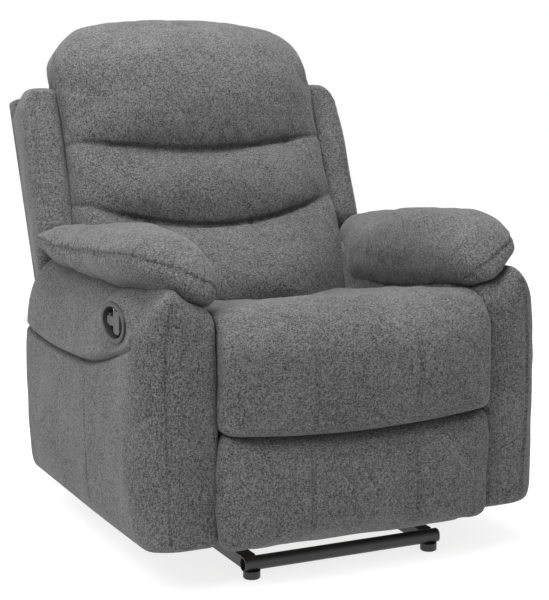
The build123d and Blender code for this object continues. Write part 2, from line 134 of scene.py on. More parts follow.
class ReclinerColours(bpy.types.PropertyGroup):
    """Colours of the cloth, the thread, the steel and the plastic"""

    cloth_dark: FloatVectorProperty(
        name="Dark yarn",
        description="Darkest yarn in the cloth",
        subtype="COLOR",
        default=(0.020, 0.020, 0.020),
    )
    cloth_light: FloatVectorProperty(
        name="Light yarn",
        description="Lightest yarn in the cloth",
        subtype="COLOR",
        default=(0.135, 0.135, 0.136),
    )
    thread: FloatVectorProperty(
        name="Thread", description="Sewing thread", subtype="COLOR", default=(0.030, 0.030, 0.030)
    )
    steel: FloatVectorProperty(
        name="Base steel",
        description="Powder coat on the base",
        subtype="COLOR",
        default=(0.012, 0.012, 0.013),
    )
    plastic: FloatVectorProperty(
        name="Plastic",
        description="Moulded plastic of the lever plate",
        subtype="COLOR",
        default=(0.020, 0.020, 0.021),
    )


def sizes():
    """The sizes that the panel shows."""
    return bpy.context.scene.recliner_sizes


def colours():
    """The colours that the panel shows."""
    return bpy.context.scene.recliner_colours


# ------------------------------------------------------------------ shader maths


class Wire:
    """One output of a shader tree; Python sums on it add the nodes that do them."""

    def __init__(self, tree, socket):
        self.tree = tree
        self.socket = socket

    def math(self, operation, first, second):
        """A Math node on two wires or numbers."""
        return make_node(self.tree, "ShaderNodeMath", {"operation": operation}, {0: first, 1: second})

    def __add__(self, other):
        return self.math("ADD", self, other)

    def __radd__(self, other):
        return self.math("ADD", other, self)

    def __sub__(self, other):
        return self.math("SUBTRACT", self, other)

    def __rsub__(self, other):
        return self.math("SUBTRACT", other, self)

    def __mul__(self, other):
        return self.math("MULTIPLY", self, other)

    def __rmul__(self, other):
        return self.math("MULTIPLY", other, self)


def fit(tree, socket, value):
    """Link a wire to a socket, or set the socket to a plain value."""
    if isinstance(value, Wire):
        tree.links.new(value.socket, socket)
    else:
        socket.default_value = value


def make_node(tree, kind, settings=None, inputs=None, output=0):
    """Add a node: settings first, then the values or wires of its sockets."""
    node = tree.nodes.new(kind)
    for name, value in (settings or {}).items():
        setattr(node, name, value)
    for name, value in (inputs or {}).items():
        fit(tree, node.inputs[name], value)
    return Wire(tree, node.outputs[output])


class Finish:
    """A material being made, with the few node groups that every finish here uses."""

    def __init__(self, name):
        self.material = bpy.data.materials.new(name)
        self.material.use_nodes = True
        self.tree = self.material.node_tree
        self.shader = self.tree.nodes["Principled BSDF"]
        self.place = self.node("ShaderNodeTexCoord", output="Object")

    def node(self, kind, settings=None, inputs=None, output=0):
        """Any node of this finish."""
        return make_node(self.tree, kind, settings, inputs, output)

    def stretched(self, across, along, up):
        """Places on the chair, counted in grains per metre each way."""
        inputs = {"Vector": self.place, "Scale": (across, along, up)}
        return self.node("ShaderNodeMapping", inputs=inputs)

    def noise(self, scale, detail=2.0, place=None, rough=0.5):
        """Soft random grain."""
        inputs = {"Vector": place or self.place, "Scale": scale, "Detail": detail, "Roughness": rough}
        return self.node("ShaderNodeTexNoise", inputs=inputs, output="Fac")

    def mix(self, amount, first, second):
        """A colour between two colours."""
        inputs = {0: amount, 6: (*first, 1), 7: (*second, 1)}
        return self.node("ShaderNodeMix", {"data_type": "RGBA"}, inputs, output=2)

    def smooth(self, value, low, high):
        """0 below low, 1 above high, smooth in between."""
        inputs = {0: value, 1: low, 2: high}
        return self.node("ShaderNodeMapRange", {"interpolation_type": "SMOOTHSTEP"}, inputs)

    def bump(self, height, strength, distance):
        """Raise the surface by a height, in the shading only."""
        inputs = {"Height": height, "Strength": strength, "Distance": distance}
        self.into("Normal", self.node("ShaderNodeBump", inputs=inputs))

    def into(self, name, value):
        """Give one of the shader's own sockets its value or wire."""
        fit(self.tree, self.shader.inputs[name], value)


def shaded(colour, share, lift=0.0):
    """A darker or lighter version of a colour."""
    return [value * share + lift for value in colour]


def upholstery():
    """Heathered grey cloth: crossed streaks of dark and light yarn, soft mottling, short pile."""
    finish = Finish("upholstery_cloth")
    upright = finish.noise(1.0, 1.0, finish.stretched(520, 520, 150), 0.6)
    across = finish.noise(1.0, 1.0, finish.stretched(160, 520, 520), 0.6)
    along = finish.noise(1.0, 1.0, finish.stretched(520, 160, 520), 0.6)
    yarn = (upright + across + along) * (1 / 3)
    slub = finish.noise(340, 3.0)
    mottle = finish.noise(70, 2.0)
    cloud = finish.noise(9, 2.0)
    tone = yarn * 1.5 + slub * 1.0 + mottle * 0.20 + cloud * 0.16 - 0.93
    spread = finish.smooth(tone, 0.20, 0.80)
    finish.into("Base Color", finish.mix(spread, colours().cloth_dark, colours().cloth_light))
    finish.into("Roughness", 0.92 - spread * 0.06)
    finish.into("Specular IOR Level", 0.25)
    finish.into("Sheen Weight", 0.12)
    finish.into("Sheen Roughness", 0.55)
    finish.into("Sheen Tint", (0.76, 0.76, 0.76, 1))
    finish.bump(yarn + slub * 0.5, 0.45, 0.0009)
    return finish.material


def sewing_thread():
    """Twisted thread a little darker than the cloth."""
    finish = Finish("sewing_thread")
    twist = finish.noise(2600, 1.0)
    base = colours().thread
    finish.into("Base Color", finish.mix(twist, shaded(base, 0.7), shaded(base, 1.4)))
    finish.into("Roughness", 0.6 + twist * 0.2)
    finish.bump(twist, 0.4, 0.0003)
    return finish.material


def powder_coat(name, colour, gloss=0.42):
    """Satin black paint over steel, with a faint orange-peel and rubbed patches."""
    finish = Finish(name)
    peel = finish.noise(700, 2.0)
    rub = finish.noise(24, 4.0)
    rubbed = finish.smooth(rub, 0.55, 0.8)
    finish.into("Base Color", finish.mix(rubbed, colour, shaded(colour, 2.4, 0.004)))
    finish.into("Roughness", gloss + rub * 0.16 + peel * 0.05)
    finish.into("Coat Weight", 0.25)
    finish.bump(peel, 0.18, 0.0004)
    return finish.material


def zinc_plate():
    """Bright zinc, drawn in one direction and slightly hazed."""
    finish = Finish("zinc_plate")
    brush = finish.noise(1.0, 2.0, finish.stretched(900, 60, 60))
    haze = finish.noise(60, 3.0)
    finish.into("Base Color", finish.mix(haze, (0.40, 0.40, 0.38), (0.62, 0.61, 0.57)))
    finish.into("Metallic", 1.0)
    finish.into("Roughness", 0.28 + brush * 0.2)
    finish.bump(brush, 0.15, 0.0002)
    return finish.material


def moulded_plastic(name, colour, grain=1600, gloss=0.44):
    """Plastic with a fine moulded grain and light wear."""
    finish = Finish(name)
    pores = finish.noise(grain, 2.0)
    wear = finish.noise(70, 3.0)
    finish.into("Base Color", finish.mix(wear, colour, shaded(colour, 1.5)))
    finish.into("Roughness", gloss + wear * 0.12)
    finish.bump(pores, 0.3, 0.0003)
    return finish.material


def birch_ply():
    """Pale plywood and softwood with long upright grain bands."""
    finish = Finish("birch_and_softwood")
    grain = finish.noise(4.0, 6.0, finish.stretched(3, 1.2, 26), 0.6)
    fibre = finish.noise(1.0, 2.0, finish.stretched(60, 30, 900))
    tone = finish.smooth(grain * 0.8 + fibre * 0.2, 0.3, 0.7)
    finish.into("Base Color", finish.mix(tone, (0.36, 0.23, 0.12), (0.62, 0.46, 0.28)))
    finish.into("Roughness", 0.6 + fibre * 0.2)
    finish.bump(fibre, 0.25, 0.0005)
    return finish.material


def needled_felt():
    """Flecked grey felt of mixed fibres."""
    finish = Finish("needled_felt")
    fuzz = finish.noise(500, 4.0)
    fleck = finish.noise(180, 2.0)
    finish.into("Base Color", finish.mix(fleck, (0.20, 0.19, 0.18), (0.46, 0.44, 0.41)))
    finish.into("Roughness", 0.95)
    finish.bump(fuzz, 0.6, 0.001)
    return finish.material


FINISHES = {}


# ------------------------------------------------------------------ mesh tools


def surface_box(counts):
    """Vertices, in -1..1, and quads of a box whose faces carry counts squares."""
    index = {}
    quads = []
    for axis in range(3):
        u, v = (axis + 1) % 3, (axis + 2) % 3
        for end in (0, counts[axis]):
            for i in range(counts[u]):
                for j in range(counts[v]):
                    ring = [(i, j), (i + 1, j), (i + 1, j + 1), (i, j + 1)]
                    if end == 0:
                        ring.reverse()
                    quad = []
                    for a, b in ring:
                        key = [0, 0, 0]
                        key[axis], key[u], key[v] = end, a, b
                        quad.append(index.setdefault(tuple(key), len(index)))
                    quads.append(quad)
    return np.array(list(index), float) / counts * 2 - 1, quads


def rounded_box(half, radius, step):
    """Vertices of a box with rounded edges, as shares of its half sizes, and its quads."""
    half = np.array(half)
    counts = np.maximum(4, np.round(2 * half / step)).astype(int)
    lattice, quads = surface_box(counts)
    point = lattice * half
    inner = np.clip(point, radius - half, half - radius)
    off = point - inner
    length = np.linalg.norm(off, axis=1, keepdims=True)
    point = np.where(length > 1e-9, inner + off / np.maximum(length, 1e-9) * radius, point)
    return point / half, quads


def new_piece(name, verts, quads, material):
    """A smooth-shaded object of one material, its faces turned outwards."""
    mesh = bpy.data.meshes.new(name)
    mesh.from_pydata([tuple(v) for v in verts], [], quads)
    mesh.update()
    piece = bpy.data.objects.new(name, mesh)
    bpy.context.scene.collection.objects.link(piece)
    piece.data.materials.append(material)
    turn_outwards(piece)
    mesh.shade_smooth()
    return piece


def turn_outwards(piece):
    """Flip every face if the closed mesh is inside out."""
    mesh = piece.data
    mesh.calc_loop_triangles()
    points = coords(piece)
    corners = np.array([tri.vertices for tri in mesh.loop_triangles])
    a, b, c = points[corners[:, 0]], points[corners[:, 1]], points[corners[:, 2]]
    if np.einsum("ij,ij->i", a, np.cross(b, c)).sum() < 0:
        mesh.flip_normals()


def per_vertex(mesh, what):
    """One vector for each vertex: its place, "co", or its normal, "normal"."""
    flat = np.empty(len(mesh.vertices) * 3)
    mesh.vertices.foreach_get(what, flat)
    return flat.reshape(-1, 3)


def coords(piece):
    """Places of a piece's vertices."""
    return per_vertex(piece.data, "co")


def normals(piece):
    """Outward directions at a piece's vertices."""
    return per_vertex(piece.data, "normal")


def set_coords(piece, points):
    """Move a piece's vertices."""
    piece.data.vertices.foreach_set("co", points.ravel())
    piece.data.update()


def bake_modifiers(piece):
    """Turn what a piece's modifiers do into its mesh."""
    graph = bpy.context.evaluated_depsgraph_get()
    mesh = bpy.data.meshes.new_from_object(piece.evaluated_get(graph))
    old = piece.data
    piece.modifiers.clear()
    piece.data = mesh
    bpy.data.meshes.remove(old)
    mesh.shade_smooth()


def waves(points, pitch, seed, count=9):
    """Smooth, repeatable unevenness between about -1 and 1, with lumps about pitch across."""
    source = np.random.default_rng(seed)
    total = np.zeros(len(points))
    for _ in range(count):
        way = source.normal(size=3)
        way /= np.linalg.norm(way)
        size = pitch * source.uniform(0.7, 1.5)
        total += np.sin(points @ way * 2 * math.pi / size + source.uniform(0, 2 * math.pi))
    return total / math.sqrt(count)


def remesh(piece):
    """Give a piece an even grid of small quads."""
    even = piece.modifiers.new("grid", "REMESH")
    even.mode = "VOXEL"
    even.voxel_size = sizes().cloth_grid
    even.use_smooth_shade = True
    bake_modifiers(piece)


def fill_with_pressure(piece, cap, held, firmness):
    """Let the cover swell as cloth; held gives each vertex's pinning, cap is the most it may move."""
    before = coords(piece)
    group = piece.vertex_groups.new(name="held")
    weights = held(before)
    for index in np.nonzero(weights > 0.02)[0]:
        group.add([int(index)], float(min(weights[index], 1.0)), "REPLACE")
    cloth = piece.modifiers.new("fill", "CLOTH")
    settings = cloth.settings
    settings.quality = 4
    settings.mass = 0.35
    settings.tension_stiffness = 18
    settings.compression_stiffness = 12
    settings.shear_stiffness = 6
    settings.bending_stiffness = 0.6
    settings.use_pressure = True
    settings.uniform_pressure_force = sizes().fill_pressure * firmness
    settings.effector_weights.gravity = 0
    settings.vertex_group_mass = "held"
    scene = bpy.context.scene
    for step in range(1, sizes().cloth_frames + 1):
        scene.frame_set(step)
    graph = bpy.context.evaluated_depsgraph_get()
    move = per_vertex(piece.evaluated_get(graph).data, "co") - before
    length = np.linalg.norm(move, axis=1, keepdims=True)
    move *= np.minimum(1, cap / np.maximum(length, 1e-9))
    piece.modifiers.clear()
    piece.vertex_groups.clear()
    scene.frame_set(1)
    set_coords(piece, before + move)


def soften(piece):
    """Ease the small kinks that the cloth step leaves."""
    smooth = piece.modifiers.new("ease", "SMOOTH")
    smooth.factor = 0.5
    smooth.iterations = 2
    bake_modifiers(piece)


def subdivide(piece):
    """Split each quad in four on a smooth surface."""
    finer = piece.modifiers.new("finer", "SUBSURF")
    finer.levels = 1
    bake_modifiers(piece)


def stuffed(name, verts, quads, cap=0.0, held=None, firmness=1.0):
    """A stuffed cover: remeshed evenly, swollen as cloth where cap allows it, then made finer."""
    piece = new_piece(name, verts, quads, FINISHES["cloth"])
    remesh(piece)
    if cap:
        fill_with_pressure(piece, cap, held, firmness)
        soften(piece)
    subdivide(piece)
    return piece


def between(values, low, high):
    """0 below low, 1 above high, smooth in between."""
    share = np.clip((values - low) / (high - low), 0, 1)
    return share * share * (3 - 2 * share)


def follow(values, table):
    """Smooth curve through (place, value) pairs."""
    places = np.array([place for place, _ in table], float)
    heights = np.array([height for _, height in table], float)
    slopes = np.gradient(heights, places)
    spot = np.clip(values, places[0], places[-1])
    cell = np.clip(np.searchsorted(places, spot) - 1, 0, len(places) - 2)
    width = places[cell + 1] - places[cell]
    t = (spot - places[cell]) / width
    return (
        heights[cell] * (2 * t**3 - 3 * t**2 + 1)
        + slopes[cell] * width * (t**3 - 2 * t**2 + t)
        + heights[cell + 1] * (3 * t**2 - 2 * t**3)
        + slopes[cell + 1] * width * (t**3 - t**2)
    )


def evenly(points, step):
    """Points evenly spaced along a run of straight pieces, rounded by averaging."""
    points = np.array(points, float)
    lengths = np.r_[0, np.cumsum(np.linalg.norm(np.diff(points, axis=0), axis=1))]
    count = max(3, int(lengths[-1] / step))
    places = np.linspace(0, lengths[-1], count)
    line = np.stack([np.interp(places, lengths, points[:, k]) for k in range(3)], axis=1)
    for _ in range(6):
        line[1:-1] = (line[:-2] + 2 * line[1:-1] + line[2:]) / 4
    return line


def skin_of(piece):
    """A tree that finds the nearest point of a piece."""
    places = [vertex.co[:] for vertex in piece.data.vertices]
    return BVHTree.FromPolygons(places, [face.vertices[:] for face in piece.data.polygons])


def onto_skin(tree, points):
    """Nearest points of the cover, and its normals there."""
    found = [tree.find_nearest(Vector(point)) for point in points]
    return np.array([hit[0] for hit in found]), np.array([hit[1] for hit in found])


def sew(piece, guide, depth=None, width=0.0035, pucker=0.0006, pitch=0.016, seed=1):
    """Pull the cover in along a guide line, with small puckers; gives the line as it lies on the skin."""
    depth = sizes().seam_depth if depth is None else depth
    line, _ = onto_skin(skin_of(piece), evenly(guide, 0.006))
    points = coords(piece)
    out = normals(piece)
    reach = max(0.03, width * 4)
    boxed = (points > line.min(0) - reach) & (points < line.max(0) + reach)
    near = np.nonzero(np.all(boxed, axis=1))[0]
    best = np.full(len(near), 1e9)
    along = np.zeros(len(near))
    step = np.linalg.norm(np.diff(line, axis=0), axis=1)
    run = np.r_[0, np.cumsum(step)]
    for index in range(len(line) - 1):
        start, way = line[index], line[index + 1] - line[index]
        share = np.clip((points[near] - start) @ way / max(way @ way, 1e-12), 0, 1)
        gap = np.linalg.norm(points[near] - start - share[:, None] * way, axis=1)
        closer = gap < best
        best[closer] = gap[closer]
        along[closer] = run[index] + share[closer] * step[index]
    ends = between(along, 0, 0.02) * between(run[-1] - along, 0, 0.02)
    source = np.random.default_rng(seed)
    swing = np.sin(2 * math.pi * along / pitch + 1.7 * np.sin(along * 37 + source.uniform(0, 6)))
    move = -depth * np.exp(-((best / width) ** 2)) * (0.25 + 0.75 * ends)
    move += pucker * swing * np.exp(-((best / 0.014) ** 2)) * ends
    points[near] += out[near] * move[:, None]
    set_coords(piece, points)
    return line


# Along one stitch: share of its length, then its rise and its thickness in thread radii.
STITCH_SHAPE = ((0, -0.2, 0.35), (0.18, 0.35, 1.0), (0.82, 0.35, 1.0), (1, -0.2, 0.35))
STITCH_SIDES = 6


def on_row(place, run, row):
    """The point, or direction, at a length along a row."""
    return np.array([np.interp(place, run, row[:, k]) for k in range(3)])


def stitches(name, piece, lines, offsets=(-0.0042, 0.0042)):
    """Rows of small thread stitches beside seam lines, laid on the cover's skin."""
    tree = skin_of(piece)
    length = sizes().stitch_length
    radius = sizes().thread
    turns = np.linspace(0, 2 * math.pi, STITCH_SIDES, endpoint=False)
    ring = [(math.cos(turn), math.sin(turn)) for turn in turns]
    verts, quads = [], []
    for line in lines:
        for offset in offsets:
            path = evenly(line, 0.002)
            _, out = onto_skin(tree, path)
            way = np.gradient(path, axis=0)
            way /= np.maximum(np.linalg.norm(way, axis=1, keepdims=True), 1e-9)
            side = np.cross(out, way)
            side /= np.maximum(np.linalg.norm(side, axis=1, keepdims=True), 1e-9)
            row, out = onto_skin(tree, path + side * offset)
            run = np.r_[0, np.cumsum(np.linalg.norm(np.diff(row, axis=0), axis=1))]
            for start in np.arange(0.004, run[-1] - length, length * 1.45):
                base = len(verts)
                for share, lift, size in STITCH_SHAPE:
                    place = start + share * length
                    spot = on_row(place, run, row)
                    up = on_row(place, run, out)
                    ahead = on_row(place + 0.001, run, row) - spot
                    ahead /= max(np.linalg.norm(ahead), 1e-9)
                    across = np.cross(up, ahead)
                    centre = spot + up * radius * lift
                    for c, s in ring:
                        verts.append(centre + (across * c + up * s) * radius * size)
                for level in range(len(STITCH_SHAPE) - 1):
                    for k in range(STITCH_SIDES):
                        a = base + level * STITCH_SIDES + k
                        b = base + level * STITCH_SIDES + (k + 1) % STITCH_SIDES
                        quads.append([a, b, b + STITCH_SIDES, a + STITCH_SIDES])
                last = base + (len(STITCH_SHAPE) - 1) * STITCH_SIDES
                quads.append([base + k for k in reversed(range(STITCH_SIDES))])
                quads.append([last + k for k in range(STITCH_SIDES)])
    return new_piece(name, np.array(verts), quads, FINISHES["thread"])


def dress(piece, body, *nodes, fill=None):
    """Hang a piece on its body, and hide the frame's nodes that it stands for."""
    if nodes:
        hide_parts(*nodes)
    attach(piece, body)


# ------------------------------------------------------------------ seat


# Along the seat, front to rear: height of its top beside the dish, and depth of the dish in its middle.
SEAT_TOP_LINE = [
    (-0.50, 0.502), (-0.45, 0.513), (-0.37, 0.509), (-0.23, 0.488),
    (-0.02, 0.468), (0.10, 0.453), (0.13, 0.450),
]
SEAT_DISH_LINE = [
    (-0.50, 0.002), (-0.44, 0.008), (-0.37, 0.020), (-0.22, 0.032), (0.02, 0.058), (0.13, 0.058),
]
# Height that the seat's top is shaped from, and radius of its rolled front edge.
SEAT_CROWN = 0.520
SEAT_ROLL = 0.076


class RECLINER_OT_seat_cushion(bpy.types.Operator):
    """Crowned seat cushion whose front rolls down over the seat box, with two sewn front seams"""

    bl_idname = "recliner.seat_cushion"
    bl_label = "Seat cushion"

    def execute(self, context):
        half = (0.272, 0.31, 0.118)
        share, quads = rounded_box(half, 0.020, 0.009)
        a, b, c = share.T
        x = a * (float(SEAT[1][0]) + 0.010)
        rear = float(SEAT[1][1]) + 0.012
        low = 0.272 + 0.018 * a**2 + 0.026 * between(b, -0.85, -0.70)
        rise = low + (SEAT_CROWN - low) * (c + 1) / 2
        curl = np.clip(rise - (SEAT_CROWN - SEAT_ROLL), 0, SEAT_ROLL)
        front = float(SEAT[0][1]) + 0.019 + SEAT_ROLL - np.sqrt(SEAT_ROLL**2 - curl**2)
        front = front - 0.020 * (1 - a**4) * (1 - c**2)
        y = front + (rear - front) * (b + 1) / 2
        top = follow(y, SEAT_TOP_LINE) - 0.008 * np.abs(a) ** 4
        top = top - follow(y, SEAT_DISH_LINE) * np.exp(-((x / 0.18) ** 2))
        z = low + (top - low) * (c + 1) / 2
        verts = np.stack([x, y, z], axis=1)
        rim = float(SEAT[1][0])

        def held(points):
            under = between(0.316 - points[:, 2], 0, 0.01)
            sides = between(np.abs(points[:, 0]), rim - 0.008, rim) * 0.9
            rear_edge = between(points[:, 1], rear - 0.02, rear)
            return np.maximum(np.maximum(under, sides), rear_edge)

        piece = stuffed("seat_cushion_cover", verts, quads, 0.014, held)
        points = coords(piece)
        out = normals(piece)
        soft = 0.0022 * waves(points, 0.16, 11) + 0.0008 * waves(points, 0.05, 12)
        points += out * (soft * between(points[:, 2], 0.33, 0.38))[:, None]
        set_coords(piece, points)
        seam = ((-0.52, 0.475), (-0.53, 0.42), (-0.53, 0.34), (-0.52, 0.285))
        lines = []
        for side in SIDES.values():
            guide = [(side * 0.105, py, pz) for py, pz in seam]
            lines.append(sew(piece, guide, 0.0028, 0.0032, 0.0006, 0.022, seed=3 + side))
        dress(piece, "seat", "seat_cushion", fill=0.75)
        dress(stitches("seat_cushion_stitches", piece, lines), "seat")
        return {"FINISHED"}


class RECLINER_OT_footrest(bpy.types.Operator):
    """Padded footrest front with two sewn seams that carry on the seat's"""

    bl_idname = "recliner.footrest"
    bl_label = "Footrest cushion"

    def execute(self, context):
        half = (0.272, 0.031, 0.105)
        share, quads = rounded_box(half, 0.019, 0.008)
        a, b, c = share.T
        rear = float(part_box("footrest_board")[1][1]) + 0.0015
        front = float(FOOT[0][1]) + 0.006
        top = 0.292 - 0.018 * (1 - a**2)
        low = 0.068 + 0.010 * np.abs(a) ** 6
        z = low + (top - low) * (c + 1) / 2
        flare = (0.022 + 0.030 * (1 - c**2)) * between(-b, -0.3, 0.5)
        x = a * (float(FOOT[1][0]) + 0.004) * (1 + flare)
        y = front + (rear - front) * (b + 1) / 2
        y = y - 0.012 * (1 - c**2) * (1 - a**4) * between(-b, -1, 1)
        verts = np.stack([x, y, z], axis=1)

        def held(points):
            return between(points[:, 1], rear - 0.012, rear - 0.004)

        piece = stuffed("footrest_cover", verts, quads, 0.010, held, 1.2)
        points = coords(piece)
        points[:, 1] = np.minimum(points[:, 1], rear)
        out = normals(piece)
        soft = 0.0018 * waves(points, 0.13, 21)
        points += out * (soft * between(rear - points[:, 1], 0.004, 0.03))[:, None]
        set_coords(piece, points)
        lines = []
        for side in SIDES.values():
            guide = [(side * 0.108, -0.52, z0) for z0 in (0.262, 0.18, 0.08)]
            lines.append(sew(piece, guide, 0.0028, 0.0032, 0.0006, 0.022, seed=6 + side))
        dress(piece, "footrest", "footrest_pad", fill=0.7)
        dress(stitches("footrest_stitches", piece, lines), "footrest")
        return {"FINISHED"}


# ------------------------------------------------------------------ back


def upper_channel(x):
    """Height up the back of the channel under the head pillow."""
    return 0.449 + 0.60 * x**2 - 2.2 * x**4


def lower_channel(x):
    """Height up the back of the channel above the lumbar lobe."""
    return 0.277 + 0.80 * x**2


# Up the back: where the cushion starts and ends, and half its width on the way.
BACK_FOOT = 0.050
BACK_TOP = 0.796
BACK_WAIST_LINE = [
    (0.05, 0.304), (0.30, 0.306), (0.48, 0.296), (0.60, 0.294),
    (0.68, 0.292), (0.74, 0.280), (0.80, 0.246),
]
BACK_REAR_LINE = [(0.1, 0.050), (0.60, 0.050), (0.66, 0.040), (0.72, 0.014), (0.79, 0.020)]


def lobe(share, fullest):
    """Profile of one stuffed lobe from its lower to its upper seam: blunt below, tucked in above."""
    rise = np.sin(math.pi / 2 * np.clip(share / fullest, 0, 1)) ** 0.42
    fall = np.cos(math.pi / 2 * np.clip((share - fullest) / (1 - fullest), 0, 1)) ** 0.62
    return np.where(share < fullest, rise, fall)


def back_front(x, u):
    """How far the back cushion's front stands out at a point of the back."""
    low, high = lower_channel(x), upper_channel(x)
    bottom = -0.03
    head_t = np.clip((u - high) / (BACK_TOP + 0.02 - high), 0, 1)
    mid_t = np.clip((u - low) / (high - low), 0, 1)
    low_t = np.clip((u - bottom) / (low - bottom), 0, 1)
    depth = sizes().channel_depth
    head = (depth + 0.014) * lobe(head_t, 0.30)
    mid = (depth + 0.004) * lobe(mid_t, 0.36)
    lumbar = (depth + 0.036) * lobe(low_t, 0.46)
    swell = np.where(u > high, head, np.where(u > low, mid, lumbar))
    fade = 1 - 0.55 * between(np.abs(x), 0.16, 0.285)
    crown = 0.016 * (1 - (x / 0.297) ** 2)
    return 0.166 + crown + swell * fade


def from_back(x, u, w):
    """Points given across, up and out of the back, in the chair's frame."""
    across = x[:, None] * np.array((1.0, 0, 0))
    return BACK_ORIGIN + across + u[:, None] * UP_BACK + w[:, None] * OUT_BACK


def to_back(points):
    """The way back from from_back: across, up and out of the back."""
    off = points - BACK_ORIGIN
    return points[:, 0], off @ UP_BACK, off @ OUT_BACK


class RECLINER_OT_back_cushion(bpy.types.Operator):
    """Stuffed back in three lobes, head, middle and lumbar, parted by two sagging sewn channels"""

    bl_idname = "recliner.back_cushion"
    bl_label = "Back cushion"

    def execute(self, context):
        half = (0.292, 0.33, 0.07)
        share, quads = rounded_box(half, 0.040, 0.008)
        a, b, c = share.T
        u = BACK_FOOT + (BACK_TOP - BACK_FOOT) * (b + 1) / 2
        x = a * follow(u, BACK_WAIST_LINE)
        u = u - 0.036 * between(u, 0.66, 0.78) * np.abs(a) ** 3.2
        rear = follow(u, BACK_REAR_LINE)
        front = back_front(x, u) - 0.072 * between(u, 0.60, BACK_TOP) ** 2.4
        w = rear + (front - rear) * (c + 1) / 2
        verts = from_back(x, u, w)

        def held(points):
            x, u, w = to_back(points)
            gap = np.minimum(np.abs(u - upper_channel(x)), np.abs(u - lower_channel(x)))
            sewn = np.exp(-((gap / 0.009) ** 2)) * (w > 0.12) * (np.abs(x) < 0.27)
            hidden = between(0.09 - w, 0, 0.02) * (u < 0.60)
            sides = between(np.abs(x), 0.286, 0.292) * (u < 0.60) * 0.9
            return np.maximum(np.maximum(sewn, hidden), sides)

        piece = stuffed("back_cushion_cover", verts, quads, 0.016, held, 1.2)
        points = coords(piece)
        out = normals(piece)
        x, u, w = to_back(points)
        front_side = between(w, 0.10, 0.15)
        for channel, reach in ((upper_channel, 0.235), (lower_channel, 0.225)):
            gap = u - channel(x)
            fade = 1 - 0.8 * between(np.abs(x), reach - 0.05, reach + 0.05)
            cut = 0.011 * np.exp(-((gap / 0.0042) ** 2)) * fade * front_side
            pleats = waves(points * np.array((1.0, 0.25, 0.25)), 0.045, 31)
            tuck = 0.0022 * pleats * np.exp(-((gap / 0.035) ** 2))
            points += out * ((tuck * front_side * (0.4 + 0.6 * (1 - fade))) - cut)[:, None]
        soft = 0.0024 * waves(points, 0.17, 32) + 0.0008 * waves(points, 0.05, 33)
        points += out * (soft * front_side)[:, None]
        set_coords(piece, points)
        lines = []
        for side in SIDES.values():
            ups = np.linspace(0.585, 0.735, 7)
            edge = follow(ups, [(0.58, 0.287), (0.66, 0.283), (0.74, 0.262)])
            guide = from_back(side * edge, ups, 0.150 - 0.05 * between(ups, 0.62, 0.74))
            lines.append(sew(piece, guide, 0.003, 0.004, 0.0008, 0.014, seed=8 + side))
        dress(piece, "backrest", "back_cushion", fill=0.8)
        dress(stitches("back_cushion_stitches", piece, lines), "backrest")
        return {"FINISHED"}


class RECLINER_OT_back_wings(bpy.types.Operator):
    """Side bolsters of the back, each with a double-stitched seam down its front edge"""

    bl_idname = "recliner.back_wings"
    bl_label = "Back bolsters"

    def execute(self, context):
        for name, side in SIDES.items():
            half = (0.046, 0.235, 0.062)
            share, quads = rounded_box(half, 0.020, 0.007)
            a, b, c = share.T
            low = follow(c, [(-1, 0.165), (-0.3, 0.18), (0.4, 0.25), (1, 0.295)])
            top = 0.634 + 0.006 * (1 - c**2)
            top = top - 0.030 * between(a, 0.0, 1.0) ** 2 - 0.016 * between(c, 0, 1)
            u = low + (top - low) * (b + 1) / 2
            w = -0.001 + 0.140 * (c + 1) / 2
            w = w + 0.004 * (1 - a**2) * between(c, 0, 1)
            inner = 0.294
            outer = float(WING[1][0]) - 0.015 + 0.012 * between(c, -0.8, 0.5) + 0.003 * (1 - b**2)
            x = inner + (outer - inner) * (a + 1) / 2
            piece = stuffed(f"back_wing_cover_{name}", from_back(side * x, u, w), quads)
            points = coords(piece)
            points += normals(piece) * (0.0016 * waves(points, 0.14, 41 + side))[:, None]
            set_coords(piece, points)
            ups = np.linspace(0.618, 0.27, 9)
            guide = from_back(np.full(9, side * 0.360), ups, np.full(9, 0.145))
            lines = [sew(piece, guide, 0.0028, 0.004, 0.0005, seed=44)]
            dress(piece, "backrest", f"back_wing_{name}", fill=0.5)
            dress(stitches(f"back_wing_stitches_{name}", piece, lines), "backrest")
        return {"FINISHED"}


